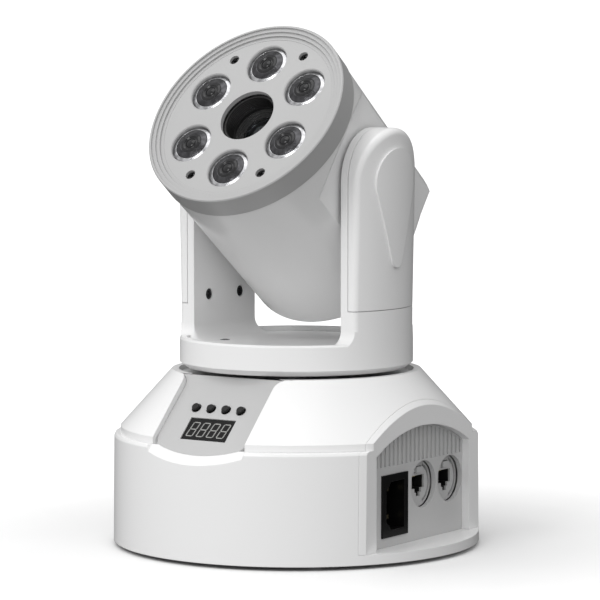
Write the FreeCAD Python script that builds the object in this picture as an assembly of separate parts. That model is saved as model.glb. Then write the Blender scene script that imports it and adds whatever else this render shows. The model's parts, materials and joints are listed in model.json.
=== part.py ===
"""Moving head light: round base, turning yoke with two arms, tilting lamp head. Millimetres, +Z up.

The pan axis is Z, the floor is Z = 0, the control panel faces -Y and the connectors face +X.
"""
import FreeCAD
import Part
import math
import os

V = FreeCAD.Vector
X_AXIS, Y_AXIS, Z_AXIS = V(1, 0, 0), V(0, 1, 0), V(0, 0, 1)

# ---- driving dimensions: base ----
foot_height = 2.0
base_radius = 95.0
drum_top_radius = 94.55
drum_top = 58.0
wall = 2.5
ledge_inner_radius = 88.7
skirt_radius = 91.2
skirt_top = 61.5
rim_radius = 64.6
rim_z = 90.9
recess_radius = 60.8
recess_z = 88.3

# feet, screws and the holes for a hanging bracket, in the bottom plate
plate_thickness = 2.0
foot_circle = 70.0
foot_angles = (45, 135, 225, 315)
foot_radius = 7.5
foot_stem_radius = 2.5
base_screw_circle = 86.5
base_screw_angles = (50, 130, 230, 310)
base_screw_radius = 1.3
pillar_radius = 4.0
bracket_pitch = 106.0
bracket_hole_radius = 3.3

plate_bottom = foot_height + 0.6
plate_top = plate_bottom + plate_thickness

# control facet: a plane sloping at 45 degrees
facet_angle = 45.0
facet_point = V(0, -78.5, 66.2)
facet_half_width = 28.0
apron_half_width = 30.5
panel_thickness = 1.8
panel_radius = 90.0
panel_top = 34.3
panel_flare = 8.0
panel_gap = 0.1
panel_foot_corner = 9.0
panel_foot_edge = -13.5
panel_tongue = 22.0
apron_flare = 0.7
seam_gap = 0.25
window_size = (27.5, 14.0)
button_row = 13.0
button_pitch = 9.1
button_radius = 2.0
button_hole_radius = 2.7
button_stand = 1.8

# connector facet: an upright plane
connector_x = 78.0
frame_depth = 2.5
recess_x = 73.7
panel_back_x = 71.2
ledge_z = 7.0
recess_half_width = 44.5
arch_radius = 90.0
arch_apex = 66.0
rib_bottom = 47.5
rib_pitch = 4.0
rib_count = 22
rib_depth = 1.0
rib_half = 0.9
socket_z = 35.0
socket_y = (6.2, 32.0)
socket_radius = 12.0
inlet_y = (-33.7, -9.7)
inlet_z = (12.0, 43.5)

# ---- driving dimensions: yoke ----
yoke_bottom = 92.0
disc_radius = 60.5
disc_low_radius = 57.0
chamfer_top = 94.7
disc_rim = 107.6
disc_floor = 104.8
arm_inner = 45.5
arm_split = 49.6
arm_half_width = 27.5
arm_seam = 123.8
arm_wall = 2.2
arm_round = 3.5
flare_radius = 9.0
arm_high_radius = 62.2
arm_high_z = 220.0
tilt_z = 188.3
pad_radius = 17.3
pad_tip_radius = 5.0
pad_tip_z = 150.0
pad_height = 1.2

# ---- driving dimensions: drive ----
pan_shaft_radius = 12.0
pan_shaft_bore = 8.0
pan_pulley_radius = 28.0
pan_pinion_radius = 7.0
pan_motor_place = (-42.0, 26.0)
tilt_shaft_radius = 8.0
running_gap = 0.05
tilt_pulley_radius = 16.0
tilt_pinion_radius = 5.0
tilt_motor_z = 140.0
belt_gap = 0.3
belt_thickness = 1.4

# ---- driving dimensions: head, measured along its own axis from the tilt axis ----
head_elevation = 37.3
head_radius = 54.5
ring_radius = 55.0
ring_front = 58.5
ring_back = 46.0
step_width = 2.0
step_height = 0.9
step_count = 3
lip_width = 1.5
face_front = 55.7
face_thickness = 2.5
face_plate_radius = 50.5
lens_pitch_radius = 32.5
lens_hole_radius = 11.7
lens_hole_bevel = 0.5
lens_rim_radius = 12.4
lens_angle = 33.0
screw_pitch_radius = 41.7
screw_angles = (63, 123, 243, 303)
screw_hole_radius = 2.65
centre_hole_radius = 15.0
tube_bore = 13.5
lens_seat = 37.0
retainer_top = 43.2
retainer_bore = 9.6
flat_x = 43.5
flat_end = 31.0
ramp_end = 46.0
shell_back = -52.6
cap_back = -61.6
back_radius = 53.5
head_wall = 2.5

os.makedirs("parts", exist_ok=True)


# ---- helpers ----
def save(name, shape):
    shape.exportStep("parts/" + name + ".step")


def cylinder(radius, low, high, x=0.0, y=0.0):
    return Part.makeCylinder(radius, high - low, V(x, y, low))


def cylinder_x(radius, low, high, y=0.0, z=0.0):
    return Part.makeCylinder(radius, high - low, V(low, y, z), X_AXIS)


def tube(outer, inner, low, high, x=0.0, y=0.0):
    return cylinder(outer, low, high, x, y).cut(cylinder(inner, low - 1, high + 1, x, y))


def tube_x(outer, inner, low, high, y=0.0, z=0.0):
    return cylinder_x(outer, low, high, y, z).cut(cylinder_x(inner, low - 1, high + 1, y, z))


def box(x0, x1, y0, y1, z0, z1):
    return Part.makeBox(x1 - x0, y1 - y0, z1 - z0, V(x0, y0, z0))


def turned(points):
    """A solid of revolution about Z from (radius, z) points."""
    corners = [V(r, 0, z) for r, z in points]
    face = Part.Face(Part.makePolygon(corners + [corners[0]]))
    return face.revolve(V(0, 0, 0), Z_AXIS, 360)


def fuse_all(shapes):
    result = shapes[0]
    for shape in shapes[1:]:
        result = result.fuse(shape)
    return result.removeSplitter()


def polar(radius, angle):
    a = math.radians(angle)
    return radius * math.cos(a), radius * math.sin(a)


def on_facet(shape):
    """Carry a shape from the facet's flat frame (X across, Y up the slope, Z out) to its place."""
    shape.rotate(V(0, 0, 0), X_AXIS, facet_angle)
    shape.translate(facet_point)
    return shape


def on_head(shape):
    """Carry a shape from the head's frame (Z towards the face) to its place at rest."""
    shape.rotate(V(0, 0, 0), X_AXIS, 90 - head_elevation)
    shape.translate(V(0, 0, tilt_z))
    return shape


def base_screw_places():
    return [polar(base_screw_circle, angle) for angle in base_screw_angles]


def facet_slab(half_width, low):
    """All space in front of a plane parallel to the control facet."""
    return on_facet(box(-half_width, half_width, -70, 70, low, 60))


def panel_outline(grow):
    """The recess for the control panel, in the facet's flat frame: it flares at the top and is open at the foot."""
    half_width, radius = facet_half_width + grow, panel_flare - grow
    wide, bend = facet_half_width + panel_flare, panel_top - panel_flare
    low, top, slant = -70, bend + radius, radius * math.sqrt(0.5)
    right = Part.Arc(V(half_width, bend, low), V(wide - slant, bend + slant, low), V(wide, top, low))
    left = Part.Arc(V(-wide, top, low), V(slant - wide, bend + slant, low), V(-half_width, bend, low))
    edges = [
        Part.LineSegment(V(-half_width, low, low), V(half_width, low, low)).toShape(),
        Part.LineSegment(V(half_width, low, low), V(half_width, bend, low)).toShape(),
        right.toShape(),
        Part.LineSegment(V(wide, top, low), V(-wide, top, low)).toShape(),
        left.toShape(),
        Part.LineSegment(V(-half_width, bend, low), V(-half_width, low, low)).toShape(),
    ]
    return Part.Face(Part.Wire(edges)).extrude(V(0, 0, 140))


def apron_slab(low):
    """The space in front of the facet, with sides that flare outwards from the plane."""
    near, far = apron_half_width - 2.0, apron_half_width - 2.0 + apron_flare * 60
    corners = [(-near, low), (near, low), (near, 0), (far, 60), (-far, 60), (-near, 0)]
    wire = Part.makePolygon([V(x, -70, z) for x, z in corners + corners[:1]])
    return on_facet(Part.Face(wire).extrude(V(0, 140, 0)))


def arch(half_width, bottom, apex, radius, x0, x1):
    """A prism along X: straight sides, flat bottom and a round-arched top."""
    side = apex - radius + math.sqrt(radius ** 2 - half_width ** 2)
    edges = [
        Part.LineSegment(V(x0, -half_width, side), V(x0, -half_width, bottom)).toShape(),
        Part.LineSegment(V(x0, -half_width, bottom), V(x0, half_width, bottom)).toShape(),
        Part.LineSegment(V(x0, half_width, bottom), V(x0, half_width, side)).toShape(),
        Part.Arc(V(x0, half_width, side), V(x0, 0, apex), V(x0, -half_width, side)).toShape(),
    ]
    return Part.Face(Part.Wire(edges)).extrude(V(x1 - x0, 0, 0))


# ---- base ----
def drum_solid():
    return turned([(0, foot_height), (base_radius, foot_height), (drum_top_radius, drum_top - 1.6),
                   (drum_top_radius - 0.5, drum_top - 0.5), (drum_top_radius - 1.6, drum_top),
                   (0, drum_top)])


def cone_solid(inset, low, high_z):
    """The top cover's outer form, moved inwards by a wall thickness."""
    slope = (rim_z - skirt_top) / (skirt_radius - rim_radius)
    drop = inset * math.sqrt(1 + slope ** 2)
    top_radius = rim_radius + (rim_z - drop - high_z) / slope
    return turned([(0, low), (skirt_radius - inset, low),
                   (skirt_radius - inset, skirt_top - drop + inset * slope),
                   (top_radius, high_z), (0, high_z)])


def connector_outline():
    """The flat connector face's own thickness, over the base's whole section there."""
    body = drum_solid().fuse(cone_solid(0, drum_top, rim_z))
    return body.common(box(connector_x - frame_depth, connector_x, -70, 70, ledge_z, 95))


def connector_pocket():
    return arch(recess_half_width + wall, ledge_z, arch_apex + wall, arch_radius + wall,
                panel_back_x, connector_x - frame_depth)


def base_shell():
    """The drum: outer wall, ledge, shelf under the connectors and pillars for the bottom screws."""
    body = drum_solid()
    facet_wall = facet_slab(apron_half_width + wall, -panel_thickness - wall).cut(cylinder(84, 0, 100))
    inside = cylinder(base_radius - wall - 0.3, 0, drum_top - wall).cut(facet_wall)
    body = body.cut(inside).cut(cylinder(ledge_inner_radius, drum_top - wall - 1, drum_top + 1))
    body = body.fuse(facet_wall.common(cylinder(ledge_inner_radius + 1, 40, drum_top)))
    shelf = cylinder(base_radius - 1, plate_top, ledge_z).common(box(66, 100, -70, 70, 0, 20))
    pillars = [cylinder(pillar_radius, plate_top, drum_top - wall, x, y) for x, y in base_screw_places()]
    body = fuse_all([body, shelf] + pillars)
    body = body.cut(apron_slab(0).common(box(-80, 80, -99, 0, 0, 99)))
    body = body.cut(control_panel_blank(0.05, -panel_thickness, 1))
    body = body.cut(box(connector_x - frame_depth, 100, -70, 70, ledge_z, 95)).cut(connector_pocket())
    for x, y in base_screw_places():
        body = body.cut(cylinder(base_screw_radius, foot_height, 20, x, y))
    return body


def base_top_cover():
    """The cone above the drum, with its locating lip, panel recess and the hollow that the yoke stands in."""
    outer = cone_solid(0, drum_top, rim_z)
    lip = tube(ledge_inner_radius - 0.2, ledge_inner_radius - 2, drum_top - 2, drum_top + 3)
    lip = lip.cut(facet_slab(apron_half_width + wall + 0.5, -20))
    outer = outer.cut(cylinder(recess_radius, recess_z, rim_z + 1))
    inside = cone_solid(wall, drum_top - 1, recess_z - wall)
    inside = inside.cut(facet_slab(facet_half_width + wall, -panel_thickness - wall))
    body = outer.cut(inside).fuse(lip)
    recess = panel_outline(0).common(box(-99, 99, -99, 99, -panel_thickness, 60))
    body = body.cut(on_facet(recess))
    opening = on_facet(box(-22, 22, -9.5, 17.5, -10, 1))
    body = body.cut(opening).cut(cylinder(19, recess_z - 6, rim_z))
    body = body.cut(box(connector_x - frame_depth, 100, -70, 70, 0, 95)).cut(connector_pocket())
    return body


def control_panel_blank(grow, low, high):
    """The panel's outline as a slab: a flared top, and a foot that follows the drum with round corners."""
    half = facet_half_width - panel_gap + grow
    slab = panel_outline(grow - panel_gap).common(box(-99, 99, -99, 99, low, high))
    slab = on_facet(slab).common(cylinder(panel_radius + grow, 30, 100)).common(cone_solid(-grow, 40, rim_z))
    corners = box(-half, half, panel_foot_edge, 70, low - 1, high + 1)
    edges = [e for e in corners.Edges if abs(e.BoundBox.ZLength - (high - low + 2)) < 0.1 and e.BoundBox.YMax < 0]
    corners = corners.makeFillet(panel_foot_corner + grow, edges)
    tongue = box(-panel_tongue, panel_tongue, -60, 70, low - 1, high + 1)
    upper = box(-rim_radius, rim_radius, 0, 70, low - 1, high + 1)
    return slab.common(on_facet(corners.fuse(tongue).fuse(upper)))


def control_panel():
    plate = box(-rim_radius, rim_radius, -30, panel_top - seam_gap, -panel_thickness, 0)
    width, height = window_size
    plate = plate.cut(box(-width / 2, width / 2, -height / 2, height / 2, -5, 5))
    for i in range(4):
        plate = plate.cut(cylinder(button_hole_radius, -5, 5, (i - 1.5) * button_pitch, button_row))
    return on_facet(plate).common(control_panel_blank(0, -panel_thickness, 0))


def display_window():
    width, height = window_size
    return on_facet(box(-width / 2 + 0.1, width / 2 - 0.1, -height / 2 + 0.1, height / 2 - 0.1, -1.6, -0.5))


def display_module():
    return on_facet(box(-13.5, 13.5, -6.8, 6.8, -8.4, -1.6))


def control_board():
    return on_facet(box(-21.5, 21.5, -9, 17, -10.0, -8.4))


def button(i):
    x = (i - 1.5) * button_pitch
    cap = cylinder(button_radius, -5.5, button_stand, x, button_row)
    cap = cap.makeFillet(0.5, [e for e in cap.Edges if e.BoundBox.ZMin > button_stand - 0.1])
    return on_facet(cap.fuse(cylinder(button_hole_radius + 0.8, -5.5, -4.3, x, button_row)))


def button_switches():
    bodies = []
    for i in range(4):
        x = (i - 1.5) * button_pitch
        bodies.append(box(x - 3, x + 3, button_row - 3, button_row + 3, -8.4, -7.0))
    return Part.makeCompound([on_facet(b) for b in bodies])


def rj45_opening(y, x0, x1):
    """A modular jack's mouth: a wide upper part and two narrower steps below it."""
    upper = box(x0, x1, y - 5.9, y + 5.9, socket_z - 2.5, socket_z + 4.3)
    middle = box(x0, x1, y - 3.2, y + 3.2, socket_z - 4.6, socket_z - 2.4)
    lower = box(x0, x1, y - 1.7, y + 1.7, socket_z - 6.6, socket_z - 4.5)
    return upper.fuse(middle).fuse(lower)


def connector_frame():
    """The flat arched frame and the walls of the recess behind it."""
    body = connector_outline().fuse(connector_pocket())
    return body.cut(arch(recess_half_width, ledge_z - 1, arch_apex, arch_radius, 60, 90))


def connector_panel():
    """The back of the recess: grooved at the top, with the openings for the inlet and the data sockets."""
    gap = 0.1
    body = arch(recess_half_width - gap, ledge_z, arch_apex - gap, arch_radius - gap, panel_back_x, recess_x)
    recess = arch(recess_half_width - 1, ledge_z, arch_apex - 1, arch_radius - 1, recess_x - rib_depth, 90)
    for i in range(rib_count):
        y = (i - (rib_count - 1) / 2) * rib_pitch
        groove = box(recess_x - rib_depth, recess_x + 1, y - rib_half, y + rib_half, rib_bottom, 70)
        body = body.cut(groove.common(recess))
    for y in socket_y:
        body = body.cut(cylinder_x(socket_radius, 60, 90, y, socket_z))
    return body.cut(box(60, 90, inlet_y[0] + 1.5, inlet_y[1] - 1.5, inlet_z[0] + 1.5, inlet_z[1] - 1.5))


def power_inlet():
    flange = box(recess_x, recess_x + 0.9, inlet_y[0], inlet_y[1], inlet_z[0], inlet_z[1])
    body = box(53, recess_x, inlet_y[0] + 1.6, inlet_y[1] - 1.6, inlet_z[0] + 1.6, inlet_z[1] - 1.6)
    body = flange.fuse(body)
    y0, y1 = inlet_y[0] + 3.6, inlet_y[1] - 3.6
    z0, z1 = inlet_z[0] + 3.6, inlet_z[1] - 3.6
    cavity = box(57, 80, y0, y1, z0, z1)
    chamfered = [e for e in cavity.Edges if e.BoundBox.XLength > 10 and e.BoundBox.YMax < y0 + 1]
    cavity = cavity.makeChamfer(4.5, chamfered)
    body = body.cut(cavity)
    for y, z in inlet_pin_places():
        body = body.cut(box(50, 60, y - 2, y + 2, z - 1, z + 1))
    return body.removeSplitter()


def inlet_pin_places():
    middle_y = (inlet_y[0] + inlet_y[1]) / 2
    middle_z = (inlet_z[0] + inlet_z[1]) / 2
    return [(middle_y - 2, middle_z), (middle_y + 2, middle_z + 7), (middle_y + 2, middle_z - 7)]


def inlet_pins():
    return Part.makeCompound([box(50, 68, y - 2, y + 2, z - 1, z + 1) for y, z in inlet_pin_places()])


def data_socket(y):
    carrier = cylinder_x(socket_radius - 0.1, 60, 70.4, y, socket_z)
    carrier = carrier.cut(rj45_opening(y, 56, 80)).cut(jack_block(y, 50, 69.2))
    slot = tube_x(socket_radius - 1.2, socket_radius - 2.6, 68.5, 80, y, socket_z)
    slot = slot.common(box(60, 80, y + 4, y + 20, socket_z - 12, socket_z + 12))
    carrier = carrier.cut(slot)
    return carrier.cut(box(62, 80, y - 3.1, y + 3.1, socket_z + 5.4, socket_z + 9.0))


def jack_block(y, x0, x1):
    return box(x0, x1, y - 7.6, y + 7.6, socket_z - 8.0, socket_z + 5.2)


def data_jack(y):
    """The black modular jack behind the round carrier's mouth."""
    return jack_block(y, 52, 69.1).cut(rj45_opening(y, 56, 80))


def data_latch(y):
    """The spring tab above the jack's mouth, pressed inwards to let a locking plug go."""
    return box(64, 71.6, y - 2.8, y + 2.8, socket_z + 5.7, socket_z + 8.7)


def bottom_plate():
    plate = cylinder(base_radius - wall - 0.8, plate_bottom, plate_top)
    for x, y in base_screw_places():
        plate = plate.cut(cylinder(base_screw_radius + 0.5, 0, 10, x, y))
    for angle in foot_angles:
        plate = plate.cut(cylinder(foot_stem_radius, 0, 10, *polar(foot_circle, angle)))
    for side in (-1, 1):
        plate = plate.cut(cylinder(bracket_hole_radius, 0, 10, 0, side * bracket_pitch / 2))
    return plate


def rubber_feet():
    feet = []
    for angle in foot_angles:
        x, y = polar(foot_circle, angle)
        foot = turned([(0, 0), (foot_radius, 0), (foot_radius + 1, plate_bottom), (0, plate_bottom)])
        stem = cylinder(foot_stem_radius, plate_bottom - 0.1, plate_top + 1)
        foot = foot.fuse(stem).removeSplitter()
        foot.translate(V(x, y, 0))
        feet.append(foot)
    return Part.makeCompound(feet)


def bottom_screws():
    screws = []
    for x, y in base_screw_places():
        head = Part.makeCone(2.9, base_screw_radius + 0.5, 1.2, V(x, y, plate_bottom - 1.2))
        screws.append(head.fuse(cylinder(base_screw_radius, plate_bottom, 18, x, y)).removeSplitter())
    return Part.makeCompound(screws)


def power_supply():
    tray = box(-68, -8, -30, 44, 6.5, 8)
    cover = box(-66, -10, -28, 42, 8, 34)
    return tray.fuse(cover).removeSplitter()


def main_board():
    board = box(0, 46, -48, 48, 14, 15.6)
    parts = [box(6, 20, -10, 4, 15.6, 18), box(28, 42, 20, 36, 15.6, 27), box(26, 40, -40, -28, 15.6, 22)]
    legs = [cylinder(2.2, plate_top, 14, x, y) for x in (4, 42) for y in (-44, 44)]
    return fuse_all([board] + parts + legs)


def pan_plate():
    plate = cylinder(56, recess_z - wall - 2.2, recess_z - wall - 0.2).cut(facet_slab(40, -14.5))
    plate = plate.cut(cylinder(19, 70, 90))
    x, y = pan_motor_place
    return plate.cut(cylinder(9, 70, 90, x, y))


def pan_bearing():
    return tube(18.9, pan_shaft_radius + running_gap, recess_z - wall - 2.2, recess_z - 0.3)


def pan_motor():
    x, y = pan_motor_place
    body = cylinder(18, 52, 81 - 11, x, y)
    boss = cylinder(5, 69.9, 71.5, x, y)
    ears = box(x - 2.4, x + 2.4, y - 24, y + 24, 68.5, 70)
    posts = [cylinder(2, 69.9, recess_z - wall - 2.2, x, y + s * 21.5) for s in (-1, 1)]
    return fuse_all([body, boss, ears] + posts).cut(cylinder(2.5, 55, 90, x, y))


def pulley(radius, low, high, bore, x=0.0, y=0.0):
    flange = 0.8
    body = cylinder(radius, low, high, x, y)
    body = body.fuse(cylinder(radius + 1.2, low, low + flange, x, y))
    body = body.fuse(cylinder(radius + 1.2, high - flange, high, x, y)).removeSplitter()
    return body.cut(cylinder(bore, low - 1, high + 1, x, y)) if bore else body


def pan_motor_pulley():
    x, y = pan_motor_place
    shaft = cylinder(2.45, 58, 82, x, y)
    return pulley(pan_pinion_radius, 73, 81, 0, x, y).fuse(shaft).removeSplitter()


def belt_outline(centre_a, radius_a, centre_b, radius_b):
    """A closed wire round two circles, in the plane of Z = 0, with straight runs that touch both."""
    a, b = V(*centre_a, 0), V(*centre_b, 0)
    along = b.sub(a)
    distance = along.Length
    heading = math.atan2(along.y, along.x)
    spread = math.acos((radius_a - radius_b) / distance)

    def point(centre, radius, angle):
        return centre.add(V(radius * math.cos(angle), radius * math.sin(angle), 0))

    a_up, a_down = point(a, radius_a, heading + spread), point(a, radius_a, heading - spread)
    b_up, b_down = point(b, radius_b, heading + spread), point(b, radius_b, heading - spread)
    return Part.Wire([
        Part.Arc(a_up, point(a, radius_a, heading + math.pi), a_down).toShape(),
        Part.LineSegment(a_down, b_down).toShape(),
        Part.Arc(b_down, point(b, radius_b, heading), b_up).toShape(),
        Part.LineSegment(b_up, a_up).toShape(),
    ])


def belt(centre_a, radius_a, centre_b, radius_b, width):
    inner = Part.Face(belt_outline(centre_a, radius_a + belt_gap, centre_b, radius_b + belt_gap))
    grown = belt_gap + belt_thickness
    outer = Part.Face(belt_outline(centre_a, radius_a + grown, centre_b, radius_b + grown))
    return outer.cut(inner).extrude(V(0, 0, width))


def pan_belt():
    loop = belt((0, 0), pan_pulley_radius, pan_motor_place, pan_pinion_radius, 5.6)
    loop.translate(V(0, 0, 74.2))
    return loop


# ---- yoke ----
def arm_cone(grow):
    """The round surface of the arms' outer faces: upright up to the seam, then leaning outwards."""
    low, high = disc_rim - 6, arm_high_z
    return turned([(0, low), (disc_radius + grow, low), (disc_radius + grow, arm_seam),
                   (arm_high_radius + grow, high), (0, high)])


def arm_outline(half_width, low, x0, x1):
    """A tongue standing up from low, with a round top about the tilt axis, as a prism along X."""
    edges = [
        Part.LineSegment(V(x0, -half_width, tilt_z), V(x0, -half_width, low)).toShape(),
        Part.LineSegment(V(x0, -half_width, low), V(x0, half_width, low)).toShape(),
        Part.LineSegment(V(x0, half_width, low), V(x0, half_width, tilt_z)).toShape(),
        Part.Arc(V(x0, half_width, tilt_z), V(x0, 0, tilt_z + half_width), V(x0, -half_width, tilt_z)).toShape(),
    ]
    return Part.Face(Part.Wire(edges)).extrude(V(x1 - x0, 0, 0))


def round_arm(solid, low):
    """Round the long outer edges of an arm on the +X side."""
    edges = []
    for edge in solid.Edges:
        b = edge.BoundBox
        if b.XMin > arm_split and b.ZMax > low + 5 and b.ZLength > 10 and b.XMax > 50:
            if abs(abs(b.YMin) - arm_half_width) < 0.5 or abs(abs(b.YMax) - arm_half_width) < 0.5:
                edges.append(edge)
    return solid.makeFillet(arm_round, edges) if edges else solid


def arm_body(low):
    solid = arm_outline(arm_half_width, low, arm_inner, 70).common(arm_cone(0))
    return round_arm(solid, low)


def arm_inside(low):
    solid = arm_outline(arm_half_width - arm_wall, low, arm_inner + arm_wall + 0.1, 70)
    return solid.common(arm_cone(-arm_wall))


def mirrored(shape):
    return shape.mirror(V(0, 0, 0), X_AXIS)


def flare_corner(top):
    """The same hollow curve turned about an upright line, for the corners between two flares."""
    slant = flare_radius * (1 - math.sqrt(0.5))
    low = top - flare_radius
    curve = Part.Arc(V(flare_radius, 0, low), V(slant, 0, low + slant), V(0, 0, top)).toShape()
    sides = Part.makePolygon([V(0, 0, top), V(0, 0, low - 0.5), V(flare_radius, 0, low - 0.5),
                              V(flare_radius, 0, low)])
    return Part.Face(Part.Wire([curve] + sides.Edges)).revolve(V(0, 0, 0), Z_AXIS, 360)


def arm_flare():
    """The hollow curve that leads the foot of the +X arm into the disc on its inner, front and back sides."""
    top = disc_floor + flare_radius
    inner = box(arm_inner - flare_radius, arm_inner + 0.5, -arm_half_width, arm_half_width, disc_floor - 0.5, top)
    inner = inner.cut(Part.makeCylinder(flare_radius, 80, V(arm_inner - flare_radius, -40, top), Y_AXIS))
    pieces = [inner]
    for side in (-1, 1):
        edge = side * arm_half_width
        far = side * (arm_half_width + flare_radius)
        low, high = sorted((edge - side * arm_round, far))
        strip = box(arm_inner, 70, low, high, disc_floor - 0.5, top)
        pieces.append(strip.cut(cylinder_x(flare_radius, 30, 80, far, top)))
        corner = flare_corner(top)
        corner.translate(V(arm_inner, edge, 0))
        pieces.append(corner)
    return fuse_all(pieces).common(arm_cone(0))


def yoke_arm():
    """The +X arm of the main moulding: full thickness up to the seam, then only its inner half."""
    low = disc_rim - 3
    arm = arm_body(low).fuse(arm_flare()).cut(arm_inside(low - 1))
    arm = arm.cut(box(arm_split, 80, -40, 40, arm_seam, 230))
    arm = arm.cut(cylinder_x(12.0, 40, 52, 0, tilt_z))
    for y in (-14, 14):
        arm = arm.cut(cylinder_x(3.0, 40, arm_inner + 1.2, y, 128.0))
        arm = arm.cut(cylinder_x(1.4, 40, 50, y, 128.0))
    return arm.removeSplitter()


def yoke_frame():
    disc = turned([(0, yoke_bottom), (disc_low_radius, yoke_bottom), (disc_radius, chamfer_top),
                   (disc_radius, disc_rim - 1.0), (disc_radius - 1.0, disc_rim), (0, disc_rim)])
    floor = cylinder(disc_radius - 3.5, disc_floor, disc_rim + 1)
    floor = floor.common(box(-arm_inner, arm_inner, -70, 70, 90, 120))
    disc = disc.cut(floor)
    inside = turned([(0, yoke_bottom - 1), (disc_low_radius - wall, yoke_bottom - 1),
                     (disc_radius - wall, chamfer_top + 1), (disc_radius - wall, disc_floor - wall),
                     (0, disc_floor - wall)])
    disc = disc.cut(inside)
    well = box(arm_inner + arm_wall, 80, -arm_half_width + arm_wall, arm_half_width - arm_wall, 96, 120)
    well = well.common(arm_cone(-arm_wall))
    arm = yoke_arm()
    body = disc.cut(well).cut(mirrored(well))
    body = fuse_all([body, arm, mirrored(arm)])
    return body.cut(cylinder(1.6, 90, 120, -34, -16)).cut(cylinder(2.6, disc_floor - 1, 120, -34, -16))


def yoke_bottom_plate():
    plate = cylinder(disc_low_radius - wall - 0.3, yoke_bottom + 0.3, yoke_bottom + 2.3)
    return plate.cut(cylinder(pan_shaft_radius, 80, 100))


def arm_cover():
    """The +X arm's outer cover, open inwards, with its raised drop-shaped pad."""
    cover = arm_body(disc_rim).cut(box(0, arm_split + seam_gap, -60, 60, 90, 230))
    cover = cover.cut(box(0, 80, -60, 60, 90, arm_seam + seam_gap)).cut(arm_inside(arm_seam + arm_wall))
    pad_wire = belt_outline((0, tilt_z), pad_radius, (0, pad_tip_z), pad_tip_radius)
    pad = Part.Face(pad_wire).extrude(V(0, 0, 20))
    pad.rotate(V(0, 0, 0), V(1, 1, 1), 120)
    pad.translate(V(50, 0, 0))
    pad = pad.common(arm_cone(pad_height)).cut(arm_cone(-1.0))
    return cover.fuse(pad).removeSplitter()


def arm_screws():
    screws = []
    for side in (1, -1):
        for y in (-14, 14):
            head = cylinder_x(2.8, arm_inner + 0.2, arm_inner + 1.2, y, 128.0)
            shank = cylinder_x(1.35, arm_inner + 1.1, 50.5, y, 128.0)
            screw = head.fuse(shank).removeSplitter()
            screws.append(screw if side > 0 else mirrored(screw))
    screws.append(cylinder(2.5, disc_floor - 1, disc_floor + 0.4, -34, -16))
    return Part.makeCompound(screws)


def tilt_bearings():
    ring = tube_x(11.95, tilt_shaft_radius + running_gap, arm_inner, arm_split, 0, tilt_z)
    return Part.makeCompound([ring, mirrored(ring)])


def tilt_motor():
    body = cylinder_x(12.5, 47.9, 51.9, 0, tilt_motor_z)
    ears = box(47.9, 49.0, -20, 20, tilt_motor_z - 3, tilt_motor_z + 3)
    return body.fuse(ears).removeSplitter().cut(cylinder_x(1.5, 49.5, 60, 0, tilt_motor_z))


def across(shape, x):
    """Turn a shape built along Z so that it runs along X, with its plane's X to Y and Y to Z."""
    shape.rotate(V(0, 0, 0), V(1, 1, 1), 120)
    shape.translate(V(x, 0, 0))
    return shape


def tilt_motor_pulley():
    wheel = pulley(tilt_pinion_radius, 0, 4.4, 0, 0, tilt_motor_z)
    return across(wheel, 52.2).fuse(cylinder_x(1.4, 50, 57.4, 0, tilt_motor_z)).removeSplitter()


def tilt_belt():
    loop = belt((0, tilt_z), tilt_pulley_radius, (0, tilt_motor_z), tilt_pinion_radius, 2.6)
    return across(loop, 53.1)


def tilt_pulley():
    return across(pulley(tilt_pulley_radius, 0, 4.4, tilt_shaft_radius, 0, tilt_z), 52.2)


def pan_shaft():
    shaft = tube(pan_shaft_radius, pan_shaft_bore, 68, yoke_bottom + 6)
    collar = tube(20, pan_shaft_radius - 1, yoke_bottom + 2.3, yoke_bottom + 4.3)
    return shaft.fuse(collar).removeSplitter()


def pan_pulley():
    return pulley(pan_pulley_radius, 73, 81, pan_shaft_radius)


# ---- head, built along its own axis ----
def shell_form(inset):
    """The lamp housing's outer form, moved inwards by a wall thickness."""
    round_part = turned([(0, shell_back), (back_radius - inset, shell_back),
                         (head_radius - inset, ramp_end), (0, ramp_end)])
    corners = [(-flat_x + inset, shell_back - 1), (flat_x - inset, shell_back - 1),
               (flat_x - inset, flat_end), (head_radius + 1 - inset, ramp_end + 1),
               (-head_radius - 1 + inset, ramp_end + 1), (-flat_x + inset, flat_end)]
    wire = Part.makePolygon([V(x, -80, z) for x, z in corners + corners[:1]])
    return round_part.common(Part.Face(wire).extrude(V(0, 160, 0)))


def head_shell():
    body = shell_form(0).cut(shell_form(head_wall))
    body = body.cut(cylinder_x(tilt_shaft_radius, -60, 60))
    return on_head(body)


def head_front_ring():
    points = [(ring_radius, ring_back), (ring_radius, ring_front - 0.6), (ring_radius - 0.5, ring_front)]
    radius, height = ring_radius - lip_width, ring_front
    for _ in range(step_count):
        points += [(radius, height), (radius, height - step_height)]
        radius -= step_width
        height -= step_height
    points += [(radius, height), (radius, face_front), (face_plate_radius, face_front),
               (face_plate_radius, ring_back)]
    return on_head(turned(points))


def lens_places():
    return [polar(lens_pitch_radius, lens_angle + 60 * i) for i in range(6)]


def face_plate():
    back = face_front - face_thickness
    plate = cylinder(face_plate_radius - 0.1, back, face_front)
    for x, y in lens_places():
        bore = lens_hole_radius - lens_hole_bevel
        bevel = Part.makeCone(bore, lens_hole_radius, lens_hole_bevel, V(x, y, face_front - lens_hole_bevel))
        plate = plate.cut(bevel).cut(cylinder(bore, back - 1, face_front, x, y))
    for angle in screw_angles:
        plate = plate.cut(cylinder(screw_hole_radius, back - 1, face_front + 1, *polar(screw_pitch_radius, angle)))
    return on_head(plate.cut(cylinder(centre_hole_radius, back - 1, face_front + 1)))


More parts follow.
